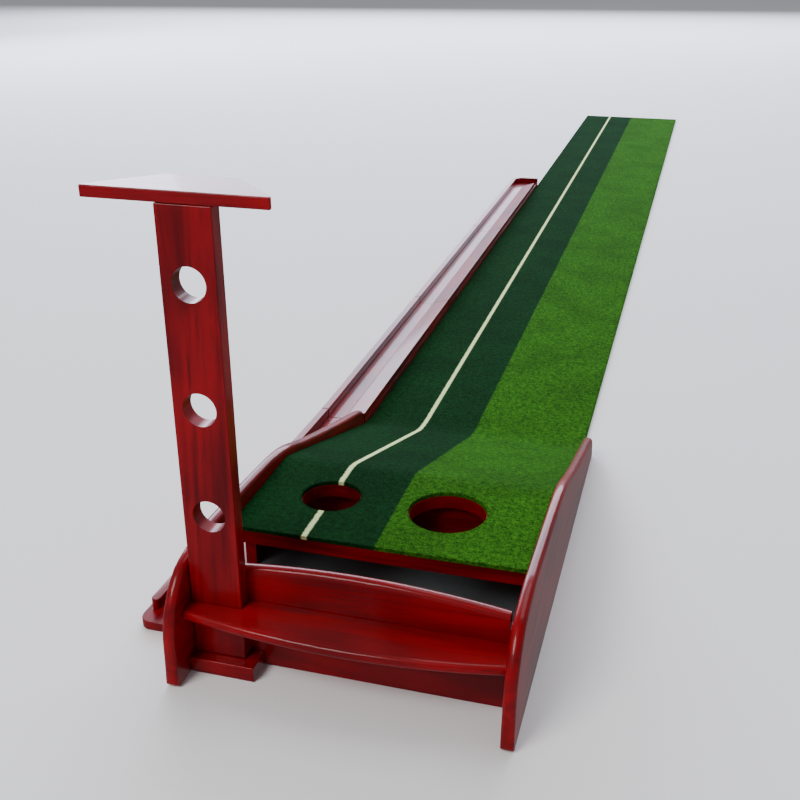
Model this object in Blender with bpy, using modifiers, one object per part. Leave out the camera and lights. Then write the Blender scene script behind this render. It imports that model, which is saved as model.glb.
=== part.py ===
"""Practice putting mat with a wooden ball-return head and a three-section return track.

Units are metres and +Z is up. The model is laid out in a layout frame whose X is zero at the
inner face of the left side panel, whose Y is zero at the front edge of the deck and whose Z is
zero on the floor. An empty then carries everything so that the middle of the object's box on the
floor is the world origin.
"""

import math

import bmesh
import bpy
from mathutils import Vector

# ---------------------------------------------------------------- driving dimensions
# Clearances
FIT_GAP = 0.0003  # between two faces that meet
SLIDE_GAP = 0.0006  # around a piece that slides or lifts out
DOWEL_GAP = 0.0003  # all round a dowel in its bore

# Turf mat
TURF_WIDTH = 0.299
TURF_THICKNESS = 0.004
TURF_END_Y = 3.0
TURF_SIDE_GAP = 0.001
TURF_HOLE_MARGIN = 0.001
TURF_LANDING_RUN = 0.030  # from the ramp's toe to where the turf lies on the floor

# Side panels
PANEL_THICKNESS = 0.012
PANEL_FRONT = 0.130  # how far the panels reach in front of the deck
PANEL_CREST = 0.120
PANEL_NOSE_HEIGHT = 0.052  # where the straight front edge ends and the round nose starts
PANEL_END_HEIGHT = 0.028
PANEL_LIP = 0.016  # how far the panel stands above the turf on the ramp
PANEL_FOOT_RADIUS = 0.006
PANEL_NOSE_KNOTS = ((0.12, 0.42), (0.50, 0.84))  # back and up along the nose, in nose heights
PANEL_CREST_RUN = 1.15  # where the nose has become the crest, in nose heights
PANEL_CREST_SAG = 0.0008  # fall of the crest's front end
PANEL_CREST_SETBACK = 0.25  # where the crest is highest, as a share of PANEL_FRONT
PANEL_DECK_KNOTS = ((0.5, 0.004), (1.0, 0.011))  # share of the deck, fall below the crest
PANEL_RAMP_KNOTS = ((0.25, -0.006), (0.60, -0.002), (0.93, 0.004))  # share of the ramp, change of lip
PANEL_TAIL_RUN = 0.005  # length of the rounded corner at the ramp's toe
PANEL_TAIL_DROP = 0.007

# Deck and ramp
DECK_TOP = 0.096
DECK_THICKNESS = 0.0135
DECK_LENGTH = 0.153
RAMP_RUN = 0.288
RAMP_THICKNESS = 0.012
RAMP_TOE = 0.003
SMALL_HOLE_RADIUS = 0.030
SMALL_HOLE_X = 0.079
LARGE_HOLE_RADIUS = 0.039
LARGE_HOLE_X = 0.203
HOLE_SETBACK = 0.071  # from the deck's rear edge to the middle of both holes

# Front board, shelf and foot block
FRONT_BOARD_GAP = 0.062  # trough opening between the deck and the front board
FRONT_BOARD_THICKNESS = 0.012
CREST_HEIGHT = 0.111
CREST_DROP = 0.012
CREST_END_SETBACK = 0.005
CREST_END_STEP = 0.014
SHELF_TOP = 0.0717
SHELF_THICKNESS = 0.010
SHELF_END_DEPTH = 0.034
SHELF_BOW = 0.016
FOOT_MARGIN = 0.0125  # how far the foot block reaches to the right of the post
FOOT_DEPTH = 0.028
FOOT_THICKNESS = 0.0153
FOOT_REBATE = 0.004

# Trough
TROUGH_BOARD_THICKNESS = 0.008
TROUGH_LINING_THICKNESS = 0.002
TROUGH_HIGH = 0.030  # top of the trough floor at the right panel
TROUGH_LOW = 0.013  # top of the trough floor at the left panel
TROUGH_HOLE_MARGIN = 0.007  # from the large hole to the trough's back board
TROUGH_BACK_THICKNESS = 0.010
CLEAT_SIZE = 0.015
CLEAT_REAR_SETBACK = 0.160  # from the ramp's toe to the rear end of the cleats
OUTLET_WIDTH = 0.056
OUTLET_TOP = 0.068
OUTLET_Y = 0.004  # front side of the ball outlet
OUTLET_CORNER = 0.010

# Post with its top plate
POST_WIDTH = 0.050
POST_THICKNESS = 0.0155
POST_SIDE_GAP = 0.0012
POST_HOLE_RADIUS = 0.0155
POST_HOLE_HEIGHTS = (0.165, 0.269, 0.380)
PLATE_TOP = 0.456
PLATE_THICKNESS = 0.0103
PLATE_LEFT_OVERHANG = 0.0645
PLATE_RIGHT_OVERHANG = 0.049
PLATE_DEPTH = 0.054
PLATE_TAPER = 0.049
PLATE_CORNER = 0.004

# Outlet tray and return track
TRACK_BASE = 0.010
TRACK_RAIL = 0.012
RAIL_WIDTH = 0.010
TRAY_FRONT_WIDTH = 0.068  # the tray narrows to the track at its rear
TRAY_FRONT_Y = -0.056
TRAY_RAIL_SETBACK = 0.020
TRAY_RAIL_INSET = 0.004  # at its front end; none where it meets the track
TRAY_CORNER = 0.012
TRACK_WIDTH = 0.063
TRACK_SECTION = 0.495
TRACK_SECTIONS = 3
TRACK_JOINT_GAP = 0.0005
TRACK_TURF_GAP = 0.001
INNER_RAIL_WIDTH = 0.029
INNER_RAIL_LOW = 0.002
TRACK_END_RADIUS = 0.032
END_MOUTH = 0.060  # how far the inner rail stops short of the end of the track

# Dowels and screws
TRACK_DOWEL_RADIUS = 0.0025
TRACK_DOWEL_LENGTH = 0.030
TRACK_DOWEL_INSET = 0.012
BOARD_DOWEL_RADIUS = 0.003
BOARD_DOWEL_LENGTH = 0.024
BOARD_DOWEL_HEIGHTS = (0.022, 0.072)
BOARD_DOWEL_IN_PANEL = 0.008
PLATE_DOWEL_RADIUS = 0.003
PLATE_DOWEL_LENGTH = 0.024
PLATE_DOWEL_IN_PLATE = 0.006
PLATE_DOWEL_SPACING = 0.028
SCREW_SHANK_RADIUS = 0.0018
SCREW_HEAD_RADIUS = 0.0036
SCREW_HEAD_HEIGHT = 0.0024
SCREW_LENGTH = 0.020
SCREW_TIP = 0.004
SCREW_HOLE_GAP = 0.0003
SCREW_Y_SHARES = (0.2, 0.8)

# Rounding of the visible edges
PANEL_ROUNDING = 0.005
ROUNDING_RISE = 0.020  # height over which a panel's rounding grows from its square foot
SHORTEST_STEP = 0.002  # points of a panel's outline are at least this far apart
ROUNDED_ANGLE = 35  # an edge sharper than this many degrees is rounded
CREST_ROUNDING = 0.005
SHELF_ROUNDING = 0.004
EDGE_ROUNDING = 0.0012
OUTLINE_STEP = 0.014  # longest straight stretch on a curved outline
TIGHT_STEP = 0.005  # the same on a small radius

# ---------------------------------------------------------------- derived places
HEAD_WIDTH = TURF_WIDTH + 2 * TURF_SIDE_GAP
DECK_REAR = DECK_LENGTH
RAMP_END = DECK_REAR + RAMP_RUN
HOLE_Y = DECK_REAR - HOLE_SETBACK
TROUGH_BACK_Y = HOLE_Y + LARGE_HOLE_RADIUS + TROUGH_HOLE_MARGIN
RAMP_SLOPE = (DECK_TOP - RAMP_TOE) / RAMP_RUN
BOARD_BACK_Y = -FRONT_BOARD_GAP
BOARD_FRONT_Y = BOARD_BACK_Y - FRONT_BOARD_THICKNESS
SHELF_BACK_Y = BOARD_FRONT_Y - FIT_GAP
POST_BACK_Y = BOARD_FRONT_Y - SLIDE_GAP
POST_FRONT_Y = POST_BACK_Y - POST_THICKNESS
POST_LEFT_X = POST_SIDE_GAP
POST_RIGHT_X = POST_LEFT_X + POST_WIDTH
POST_MID_X = POST_LEFT_X + POST_WIDTH / 2
POST_MID_Y = POST_BACK_Y - POST_THICKNESS / 2
POST_BOTTOM = FOOT_THICKNESS - FOOT_REBATE + FIT_GAP
PLATE_BOTTOM = PLATE_TOP - PLATE_THICKNESS
TRAY_RIGHT_X = -PANEL_THICKNESS - FIT_GAP
TRAY_LEFT_X = TRAY_RIGHT_X - TRAY_FRONT_WIDTH
TRACK_RIGHT_X = TURF_SIDE_GAP - TRACK_TURF_GAP
TRACK_LEFT_X = TRACK_RIGHT_X - TRACK_WIDTH
TRACK_START_Y = RAMP_END + TRACK_JOINT_GAP
TRACK_TOP = TRACK_BASE + TRACK_RAIL
TRACK_END_Y = TRACK_START_Y + TRACK_SECTIONS * TRACK_SECTION
BOX_LEFT = min(TRAY_LEFT_X, TRACK_LEFT_X, POST_LEFT_X - PLATE_LEFT_OVERHANG)
BOX_RIGHT = HEAD_WIDTH + PANEL_THICKNESS
BOX_FRONT = -PANEL_FRONT
BOX_REAR = max(TURF_END_Y, TRACK_END_Y)
ORIGIN = Vector(((BOX_LEFT + BOX_RIGHT) / 2, (BOX_FRONT + BOX_REAR) / 2, 0.0))


# ---------------------------------------------------------------- scene set-up
def clear_scene():
    """Remove the objects that the open file holds."""
    for item in list(bpy.data.objects):
        bpy.data.objects.remove(item, do_unlink=True)


def new_collection(name):
    """Make a collection under the scene's own."""
    collection = bpy.data.collections.new(name)
    bpy.context.scene.collection.children.link(collection)
    return collection


def new_material(name, color, roughness, metallic=0.0, coat=0.0):
    """Make a Principled material."""
    material = bpy.data.materials.new(name)
    material.use_nodes = True
    shader = material.node_tree.nodes["Principled BSDF"]
    shader.inputs["Base Color"].default_value = (*color, 1.0)
    shader.inputs["Roughness"].default_value = roughness
    shader.inputs["Metallic"].default_value = metallic
    shader.inputs["Coat Weight"].default_value = coat
    return material


clear_scene()
PARTS = new_collection("putting_mat")
CUTTERS = new_collection("cutters")
LACQUER = new_material("red_lacquered_wood", (0.17, 0.008, 0.006), 0.28, coat=0.6)
LINING = new_material("dark_felt", (0.008, 0.014, 0.013), 0.9)
TURF = new_material("green_turf", (0.03, 0.16, 0.03), 0.95)
BIRCH = new_material("plain_dowel_wood", (0.55, 0.38, 0.21), 0.6)
STEEL = new_material("zinc_screw_steel", (0.62, 0.60, 0.56), 0.35, metallic=1.0)


def new_empty(name, place, parent=None):
    """Make an empty at a layout place, under a parent or in the world."""
    empty = bpy.data.objects.new(name, None)
    PARTS.objects.link(empty)
    empty.empty_display_size = 0.02
    if parent is None:
        empty.location = place
    else:
        empty.parent = parent
        empty.location = Vector(place) - parent_place(parent)
    return empty


def parent_place(parent):
    """The layout place of a parent empty."""
    place = Vector((0.0, 0.0, 0.0))
    while parent.parent is not None:
        place += parent.location
        parent = parent.parent
    return place


MAT_FRAME = new_empty("mat_frame", -ORIGIN)


# ---------------------------------------------------------------- shape helpers
def mesh_object(name, mesh, material, parent):
    """Put a mesh laid out in layout coordinates under a parent empty."""
    item = bpy.data.objects.new(name, mesh)
    mesh.materials.append(material)
    PARTS.objects.link(item)
    item.parent = parent
    item.location = -parent_place(parent)
    return item


def box_mesh(name, low, high):
    """An axis-aligned box between two corners."""
    shape = bmesh.new()
    bmesh.ops.create_cube(shape, size=1.0)
    size = Vector(high) - Vector(low)
    middle = (Vector(high) + Vector(low)) / 2
    bmesh.ops.scale(shape, vec=size, verts=shape.verts)
    bmesh.ops.translate(shape, vec=middle, verts=shape.verts)
    mesh = bpy.data.meshes.new(name)
    shape.to_mesh(mesh)
    shape.free()
    return mesh


def box(name, low, high, material, parent, rounding=0.0):
    """A box with optional rounded edges."""
    item = mesh_object(name, box_mesh(name, low, high), material, parent)
    if rounding:
        round_edges(item, rounding)
    return item


def place_on_plane(plane, u, v, w):
    """Turn outline coordinates u, v and depth w into layout coordinates."""
    if plane == "YZ":
        return Vector((w, u, v))
    if plane == "XZ":
        return Vector((u, w, v))
    return Vector((u, v, w))


def slab_mesh(name, outline, plane, low, high):
    """Extrude a closed outline, given as points, from low to high across its plane."""
    curve = bpy.data.curves.new(name, "CURVE")
    curve.dimensions = "2D"
    curve.fill_mode = "BOTH"
    curve.extrude = (high - low) / 2
    spline = curve.splines.new("POLY")
    spline.points.add(len(outline) - 1)
    for point, (u, v) in zip(spline.points, outline):
        point.co = (u, v, 0.0, 1.0)
    spline.use_cyclic_u = True
    carrier = bpy.data.objects.new(name + "_outline", curve)
    PARTS.objects.link(carrier)
    bpy.context.view_layer.update()
    mesh = bpy.data.meshes.new_from_object(carrier.evaluated_get(bpy.context.evaluated_depsgraph_get()))
    bpy.data.objects.remove(carrier, do_unlink=True)
    shape = bmesh.new()
    shape.from_mesh(mesh)
    bmesh.ops.remove_doubles(shape, verts=shape.verts, dist=1e-6)
    middle = (high + low) / 2
    for vertex in shape.verts:
        vertex.co = place_on_plane(plane, vertex.co.x, vertex.co.y, vertex.co.z + middle)
    bmesh.ops.recalc_face_normals(shape, faces=shape.faces)
    if shape.calc_volume(signed=True) < 0:
        bmesh.ops.reverse_faces(shape, faces=shape.faces)
    shape.to_mesh(mesh)
    shape.free()
    mesh.name = name
    return mesh


def slab(name, outline, plane, low, high, material, parent, rounding=0.0):
    """An extruded outline with optional rounded edges."""
    item = mesh_object(name, slab_mesh(name, outline, plane, low, high), material, parent)
    if rounding:
        round_edges(item, rounding)
    return item


def cylinder_mesh(name, radius, length, middle, axis, sides=24, radius_end=None):
    """A cylinder or cone around an X, Y or Z axis, centred on a place."""
    shape = bmesh.new()
    bmesh.ops.create_cone(
        shape,
        cap_ends=True,
        segments=sides,
        radius1=radius,
        radius2=radius if radius_end is None else radius_end,
        depth=length,
    )
    turn = Vector((0.0, 0.0, 1.0)).rotation_difference(Vector(axis)).to_matrix()
    for vertex in shape.verts:
        vertex.co = turn @ vertex.co + Vector(middle)
    mesh = bpy.data.meshes.new(name)
    shape.to_mesh(mesh)
    shape.free()
    mesh.shade_smooth()
    mesh.set_sharp_from_angle(angle=math.radians(ROUNDED_ANGLE))
    return mesh


def round_edges(item, width, segments=3):
    """Round the sharp edges of a piece."""
    bevel = item.modifiers.new("rounded_edges", "BEVEL")
    bevel.width = width
    bevel.segments = segments
    bevel.limit_method = "ANGLE"
    bevel.angle_limit = math.radians(ROUNDED_ANGLE)


def without_crowding(outline, shortest):
    """The outline without points that lie too close to the one before."""
    kept = [outline[0]]
    for point in outline[1:]:
        if math.dist(point, kept[-1]) > shortest:
            kept.append(point)
    return kept


def inward_directions(outline):
    """For each point of a counter-clockwise outline, its move for an inset of one unit."""
    directions = []
    for before, point, after in zip(outline[-1:] + outline[:-1], outline, outline[1:] + outline[:1]):
        arrive = (Vector(point) - Vector(before)).normalized()
        leave = (Vector(after) - Vector(point)).normalized()
        sum_of_normals = Vector((-arrive.y - leave.y, arrive.x + leave.x))
        directions.append(sum_of_normals / (1 + arrive.dot(leave)))
    return directions


def rounded_slab(name, outline, inward, plane, low, high, material, parent, rounding, segments=3):
    """An extruded outline that is drawn in along the given directions towards both its faces."""
    layers = []
    for index in range(segments + 1):
        turn = math.pi / 2 * index / segments
        layers.append((low + rounding * (1 - math.cos(turn)), rounding * (1 - math.sin(turn))))
    layers += [(low + high - depth, distance) for depth, distance in reversed(layers)]
    shape = bmesh.new()
    rings = []
    for depth, distance in layers:
        ring = []
        for (u, v), (du, dv) in zip(outline, inward):
            place = place_on_plane(plane, u + du * distance, v + dv * distance, depth)
            ring.append(shape.verts.new(place))
        rings.append(ring)
    for lower, upper in zip(rings, rings[1:]):
        for index in range(len(outline)):
            shape.faces.new((lower[index - 1], lower[index], upper[index], upper[index - 1]))
    shape.faces.new(rings[0])
    shape.faces.new(rings[-1])
    bmesh.ops.recalc_face_normals(shape, faces=shape.faces)
    if shape.calc_volume(signed=True) < 0:
        bmesh.ops.reverse_faces(shape, faces=shape.faces)
    mesh = bpy.data.meshes.new(name)
    shape.to_mesh(mesh)
    shape.free()
    mesh.shade_smooth()
    mesh.set_sharp_from_angle(angle=math.radians(ROUNDED_ANGLE))
    return mesh_object(name, mesh, material, parent)


def cut(item, mesh, name):
    """Cut a piece with a hidden cutter mesh."""
    cutter = bpy.data.objects.new(name, mesh)
    CUTTERS.objects.link(cutter)
    cutter.parent = item
    cutter.hide_render = True
    cutter.display_type = "WIRE"
    boolean = item.modifiers.new(name, "BOOLEAN")
    boolean.operation = "DIFFERENCE"
    boolean.solver = "EXACT"
    boolean.object = cutter


def arc(center, radius, start, end, step=OUTLINE_STEP):
    """Points on an arc, angles in degrees."""
    sweep = math.radians(end - start)
    count = max(3, math.ceil(abs(sweep) * radius / step))
    points = []
    for index in range(count + 1):
        angle = math.radians(start) + sweep * index / count
        points.append((center[0] + radius * math.cos(angle), center[1] + radius * math.sin(angle)))
    return points


def smooth_line(knots, step=OUTLINE_STEP):
    """Points on a Catmull-Rom curve through a few knots."""
    padded = [knots[0], *knots, knots[-1]]
    points = [knots[0]]
    for before, start, end, after in zip(padded, padded[1:], padded[2:], padded[3:]):
        count = max(2, math.ceil(math.dist(start, end) / step))
        for index in range(1, count + 1):
            t = index / count
            point = []
            for a, b, c, d in zip(before, start, end, after):
                bend = (2 * a - 5 * b + 4 * c - d) * t**2 + (3 * b - a - 3 * c + d) * t**3
                point.append(b + ((c - a) * t + bend) / 2)
            points.append(tuple(point))
    return points


# ---------------------------------------------------------------- side panels
def ramp_height(y):
    """Height of the wooden ramp and deck surface at a place along the head."""
    if y <= DECK_REAR:
        return DECK_TOP
    return DECK_TOP - (y - DECK_REAR) * RAMP_SLOPE


def panel_outline():
    """Side view of a panel: straight foot, round nose, long top edge that falls with the ramp."""
    lip = TURF_THICKNESS + PANEL_LIP
    nose = PANEL_CREST - PANEL_NOSE_HEIGHT
    knots = [(-PANEL_FRONT, PANEL_NOSE_HEIGHT)]
    for back, up in PANEL_NOSE_KNOTS:
        knots.append((-PANEL_FRONT + back * nose, PANEL_NOSE_HEIGHT + up * nose))
    knots.append((-PANEL_FRONT + PANEL_CREST_RUN * nose, PANEL_CREST - PANEL_CREST_SAG))
    knots.append((-PANEL_CREST_SETBACK * PANEL_FRONT, PANEL_CREST))
    for share, fall in PANEL_DECK_KNOTS:
        knots.append((share * DECK_REAR, PANEL_CREST - fall))
    for share, change in PANEL_RAMP_KNOTS:
        y = DECK_REAR + share * RAMP_RUN
        knots.append((y, ramp_height(y) + lip + change))
    top = smooth_line(knots)
    top = [(max(y, -PANEL_FRONT), min(z, PANEL_CREST)) for y, z in top]
    rear = [
        (RAMP_END - PANEL_TAIL_RUN, PANEL_END_HEIGHT),
        (RAMP_END, PANEL_END_HEIGHT - PANEL_TAIL_DROP),
        (RAMP_END, 0.0),
    ]
    foot_middle = (-PANEL_FRONT + PANEL_FOOT_RADIUS, PANEL_FOOT_RADIUS)
    foot = arc(foot_middle, PANEL_FOOT_RADIUS, 270, 180)
    return top + rear + foot


def board_dowel_places():
    """Side, x of the middle, and height of each dowel between front board and side panels."""
    reach = BOARD_DOWEL_LENGTH / 2 - BOARD_DOWEL_IN_PANEL
    places = []
    for side, x in (("left", reach), ("right", HEAD_WIDTH - reach)):
        for level, height in zip(("lower", "upper"), BOARD_DOWEL_HEIGHTS):
            places.append((side, level, x, height))
    return places


def cut_board_dowels(item, side):
    """Bore a panel, or the front board, for the dowels of one side."""
    middle_y = (BOARD_FRONT_Y + BOARD_BACK_Y) / 2
    for dowel_side, level, x, height in board_dowel_places():
        if dowel_side == side:
            bore = cylinder_mesh(
                "bore",
                BOARD_DOWEL_RADIUS + DOWEL_GAP,
                BOARD_DOWEL_LENGTH + 2 * DOWEL_GAP,
                (x, middle_y, height),
                (1, 0, 0),
                sides=16,
            )
            cut(item, bore, f"{item.name}_{side}_{level}_bore")


def cleat_span(side):
    """Lowest and highest x of the cleat on one side."""
    if side == "left":
        return FIT_GAP, FIT_GAP + CLEAT_SIZE
    return HEAD_WIDTH - FIT_GAP - CLEAT_SIZE, HEAD_WIDTH - FIT_GAP


def cleat_y_span():
    """Front and rear of the cleats, behind the trough's back board."""
    return TROUGH_BACK_Y + TROUGH_BACK_THICKNESS + FIT_GAP, RAMP_END - CLEAT_REAR_SETBACK


def board_underside(y):
    """Underside of the deck or the ramp, whichever is lower at y."""
    drop = RAMP_THICKNESS * math.hypot(1.0, RAMP_SLOPE)
    return min(DECK_TOP - DECK_THICKNESS, ramp_height(y) - drop)


def cleat_top(y):
    """Height of the cleat's top."""
    return board_underside(y) - 2 * FIT_GAP


def screw_places():
    """Name, side and (y, z) of the screws that hold the cleats to the panels."""
    front, rear = cleat_y_span()
    places = []
    for side in ("left", "right"):
        for number, share in enumerate(SCREW_Y_SHARES, start=1):
            y = front + share * (rear - front)
            z = cleat_top(y) - CLEAT_SIZE / 2
            places.append((f"{side}_cleat_screw_{number}", side, y, z))
    return places


def side_panel(side):
    """One side panel; the left one has the ball outlet."""
    low = -PANEL_THICKNESS if side == "left" else HEAD_WIDTH
    outline = without_crowding(panel_outline(), SHORTEST_STEP)[::-1]
    inward = []
    for (_, z), direction in zip(outline, inward_directions(outline)):
        inward.append(direction * min(1.0, z / ROUNDING_RISE))
    panel = rounded_slab(
        f"{side}_side_panel",
        outline,
        inward,
        "YZ",
        low,
        low + PANEL_THICKNESS,
        LACQUER,
        MAT_FRAME,
        PANEL_ROUNDING,
    )
    cut_board_dowels(panel, side)
    for name, screw_side, y, z in screw_places():
        if screw_side == side:
            cut_screw_bore(panel, side, y, z)
    if side == "left":
        low_z = TRACK_BASE + FIT_GAP
        rear_y = OUTLET_Y + OUTLET_WIDTH
        corner_z = OUTLET_TOP - OUTLET_CORNER
        outline = [(OUTLET_Y, low_z), (rear_y, low_z)]
        outline += arc((rear_y - OUTLET_CORNER, corner_z), OUTLET_CORNER, 0, 90)
        outline += arc((OUTLET_Y + OUTLET_CORNER, corner_z), OUTLET_CORNER, 90, 180)
        outlet = slab_mesh("outlet_cutter", outline, "YZ", -2 * PANEL_THICKNESS, PANEL_THICKNESS)
        cut(panel, outlet, "ball_outlet")
    return panel


# ---------------------------------------------------------------- deck, ramp and turf
def hole_places():
    """Name, x and radius of the two holes in deck and turf."""
    return (
        ("small_hole", SMALL_HOLE_X, SMALL_HOLE_RADIUS),
        ("large_hole", LARGE_HOLE_X, LARGE_HOLE_RADIUS),
    )


def cut_holes(item, margin):
    """Cut both ball holes through a level piece."""
    for name, x, radius in hole_places():
        mesh = cylinder_mesh(name, radius + margin, 0.1, (x, HOLE_Y, DECK_TOP), (0, 0, 1), sides=40)
        cut(item, mesh, f"{item.name}_{name}")


def deck_board():
    """The level board with the two holes."""
    deck = box(
        "deck_board",
        (FIT_GAP, 0.0, DECK_TOP - DECK_THICKNESS),
        (HEAD_WIDTH - FIT_GAP, DECK_REAR - FIT_GAP, DECK_TOP),
        LACQUER,
        MAT_FRAME,
    )
    cut_holes(deck, 0.0)
    return deck


def ramp_board():
    """The sloping board from the deck down to the floor, planed flat where it lands."""
    drop = RAMP_THICKNESS * math.hypot(1.0, RAMP_SLOPE)
    landing = DECK_REAR + (DECK_TOP - drop) / RAMP_SLOPE
    outline = [
        (DECK_REAR, DECK_TOP),
        (RAMP_END, RAMP_TOE),
        (RAMP_END, 0.0),
        (landing, 0.0),
        (DECK_REAR, DECK_TOP - drop),
    ]
    return slab(
        "ramp_board", outline, "YZ", FIT_GAP, HEAD_WIDTH - FIT_GAP, LACQUER, MAT_FRAME
    )


def turf_path():
    """Underside of the turf from the deck's front edge to its far end, as (y, z)."""
    return [
        (0.0, DECK_TOP + FIT_GAP),
        (DECK_REAR, DECK_TOP + FIT_GAP),
        (RAMP_END, RAMP_TOE + FIT_GAP),
        (RAMP_END + TURF_LANDING_RUN, 0.0),
        (TURF_END_Y, 0.0),
    ]


def offset_path(path, distance):
    """The path moved square to itself, mitred at its corners."""
    normals = []
    for start, end in zip(path, path[1:]):
        length = math.dist(start, end)
        normals.append(Vector((start[1] - end[1], end[0] - start[0])) / length)
    moved = []
    for index, point in enumerate(path):
        before = normals[max(index - 1, 0)]
        after = normals[min(index, len(normals) - 1)]
        middle = (before + after).normalized()
        moved.append(Vector(point) + middle * (distance / middle.dot(before)))
    return [tuple(point) for point in moved]


def turf_mat():
    """The turf in one length over deck, ramp and floor."""
    under = turf_path()
    over = offset_path(under, TURF_THICKNESS)
    turf = slab(
        "turf_mat",
        under + over[::-1],
        "YZ",
        TURF_SIDE_GAP,
        TURF_SIDE_GAP + TURF_WIDTH,
        TURF,
        MAT_FRAME,
    )
    cut_holes(turf, TURF_HOLE_MARGIN)
    return turf


# ---------------------------------------------------------------- front board, shelf, foot block
def crest_height(x):
    """Arched top of the front board."""
    middle = HEAD_WIDTH / 2
    return CREST_HEIGHT - CREST_DROP * ((x - middle) / middle) ** 2


def front_board():
    """The upright board from the floor to the arched crest."""
    start = CREST_END_SETBACK
    end = HEAD_WIDTH - CREST_END_SETBACK
    step_height = crest_height(start) - CREST_END_STEP
    count = math.ceil((end - start) / OUTLINE_STEP)
    outline = [
        (FIT_GAP, 0.0),
        (HEAD_WIDTH - FIT_GAP, 0.0),
        (HEAD_WIDTH - FIT_GAP, step_height),
        (end, step_height),
    ]
    for index in range(count + 1):
        x = end + (start - end) * index / count
        outline.append((x, crest_height(x)))
    outline += [(start, step_height), (FIT_GAP, step_height)]
    inward = [(0.0, -1.0 if z > step_height else 0.0) for _, z in outline]
    board = rounded_slab(
        "front_board",
        outline,
        inward,
        "XZ",
        BOARD_FRONT_Y,
        BOARD_BACK_Y,
        LACQUER,
        MAT_FRAME,
        CREST_ROUNDING,
    )
    for side in ("left", "right"):
        cut_board_dowels(board, side)
    return board


def shelf():
    """The bowed shelf in front of the board, notched around the post."""
    left = FIT_GAP
    right = HEAD_WIDTH - FIT_GAP
    count = math.ceil((right - left) / OUTLINE_STEP)
    outline = [(right, SHELF_BACK_Y), (left, SHELF_BACK_Y)]
    for index in range(count + 1):
        share = index / count
        bow = SHELF_BOW * (1 - (2 * share - 1) ** 2)
        outline.append((left + (right - left) * share, SHELF_BACK_Y - SHELF_END_DEPTH - bow))
    inward = [(0.0, 1.0 if y < SHELF_BACK_Y else 0.0) for _, y in outline]
    board = rounded_slab(
        "shelf",
        outline,
        inward,
        "XY",
        SHELF_TOP - SHELF_THICKNESS,
        SHELF_TOP,
        LACQUER,
        MAT_FRAME,
        SHELF_ROUNDING,
    )
    notch = box_mesh(
        "post_notch",
        (-PANEL_THICKNESS, POST_FRONT_Y - SLIDE_GAP, 0.0),
        (POST_RIGHT_X + SLIDE_GAP, BOARD_FRONT_Y, 2 * SHELF_TOP),
    )
    cut(board, notch, "post_notch")
    return board


def foot_block():
    """The block on the floor that carries the foot of the post in a shallow rebate."""
    block = box(
        "foot_block",
        (FIT_GAP, SHELF_BACK_Y - FOOT_DEPTH, 0.0),
        (POST_RIGHT_X + FOOT_MARGIN, SHELF_BACK_Y, FOOT_THICKNESS),
        LACQUER,
        MAT_FRAME,
    )
    rebate = box_mesh(
        "post_rebate",
        (-PANEL_THICKNESS, POST_FRONT_Y - SLIDE_GAP, FOOT_THICKNESS - FOOT_REBATE),
        (POST_RIGHT_X + SLIDE_GAP, BOARD_FRONT_Y, 2 * FOOT_THICKNESS),
    )
    cut(block, rebate, "post_rebate")
    return block


# ---------------------------------------------------------------- trough and cleats
def trough_slope_outline(top_left, top_right, thickness):
    """Front view of a sheet that falls from the right panel to the left one."""
    left = FIT_GAP
    right = HEAD_WIDTH - FIT_GAP
    return [
        (left, top_left - thickness),
        (right, top_right - thickness),
        (right, top_right),
        (left, top_left),
    ]


def trough():
    """Sloping trough floor, its felt lining and the board behind it."""
    front = BOARD_BACK_Y + FIT_GAP
    rear = TROUGH_BACK_Y - FIT_GAP
    slab(
        "trough_floor",
        trough_slope_outline(TROUGH_LOW, TROUGH_HIGH, TROUGH_BOARD_THICKNESS),
        "XZ",
        front,
        rear,
        LACQUER,
        MAT_FRAME,
    )
    lift = TROUGH_LINING_THICKNESS + FIT_GAP
    slab(
        "trough_lining",
        trough_slope_outline(TROUGH_LOW + lift, TROUGH_HIGH + lift, TROUGH_LINING_THICKNESS),
        "XZ",
        front + FIT_GAP,
        rear - FIT_GAP,
        LINING,
        MAT_FRAME,
    )
    back_rear = TROUGH_BACK_Y + TROUGH_BACK_THICKNESS
    box(
        "trough_back_board",
        (FIT_GAP, TROUGH_BACK_Y, 0.0),
        (HEAD_WIDTH - FIT_GAP, back_rear, board_underside(back_rear) - FIT_GAP),
        LACQUER,
        MAT_FRAME,
    )


def cleat(side):
    """A batten screwed to a side panel that carries the rear of the deck and the ramp."""
    front, rear = cleat_y_span()
    outline = [
        (front, cleat_top(front) - CLEAT_SIZE),
        (rear, cleat_top(rear) - CLEAT_SIZE),
        (rear, cleat_top(rear)),
    ]
    if front < DECK_REAR:
        outline.append((DECK_REAR, cleat_top(DECK_REAR)))
    outline.append((front, cleat_top(front)))
    low, high = cleat_span(side)
    item = slab(f"{side}_cleat", outline, "YZ", low, high, BIRCH, MAT_FRAME)
    for name, screw_side, y, z in screw_places():
        if screw_side == side:
            cut_screw_bore(item, side, y, z)
            cut_screw_seat(item, side, y, z)
    return item


def screw_axis(side):
    """Inner face of the cleat, and the direction in which its screws run."""
    low, high = cleat_span(side)
    if side == "left":
        return high, -1.0
    return low, 1.0


def cut_screw_bore(item, side, y, z):
    """Bore for the shank of one screw."""
    face, way = screw_axis(side)
    length = SCREW_LENGTH + 2 * SCREW_HOLE_GAP
    bore = cylinder_mesh(
        "screw_bore",
        SCREW_SHANK_RADIUS + SCREW_HOLE_GAP,
        length,
        (face + way * (length / 2), y, z),
        (way, 0, 0),
        sides=12,
    )
    cut(item, bore, f"{item.name}_bore_{y:.2f}")


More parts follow.
